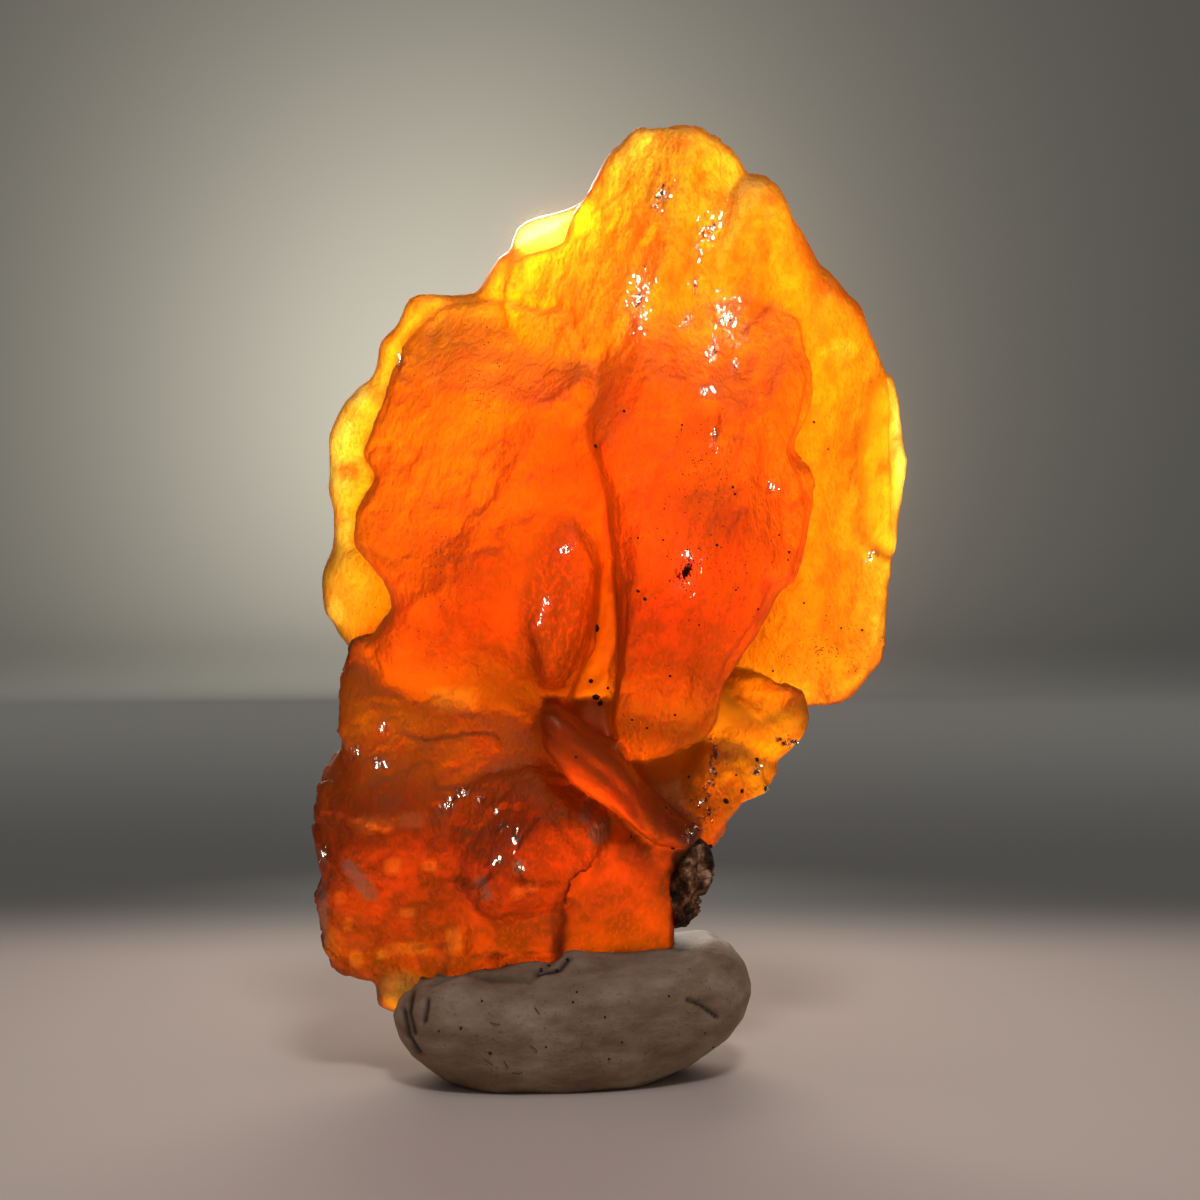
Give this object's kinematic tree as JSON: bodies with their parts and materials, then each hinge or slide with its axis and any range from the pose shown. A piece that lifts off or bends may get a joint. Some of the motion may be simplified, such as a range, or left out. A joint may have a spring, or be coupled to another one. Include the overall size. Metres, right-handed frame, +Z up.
{
  "type": "wulfenite crystal specimen",
  "caption": "Rough see-through orange crystal mass with a crumb of dark host rock, standing upright in a hand-rolled roll of grey putty.",
  "frame": {"origin": "centre of the whole object's box in plan, at the height of the surface that the putty rests on", "axes": "+Z up, +X to the right and +Y away from the viewer as the picture shows it"},
  "size_m": [0.0206, 0.0084, 0.0325],
  "materials": {
    "wulfenite": "see-through orange to red, glossy on flat breaks and satin elsewhere",
    "host_rock": "rough, dark brown",
    "putty": "matt grey tack with dust specks"
  },
  "bodies": {
    "root": {"wulfenite_crystal": "wulfenite", "matrix_crumb": "host_rock", "putty_roll": "putty"}
  },
  "joints": []
}
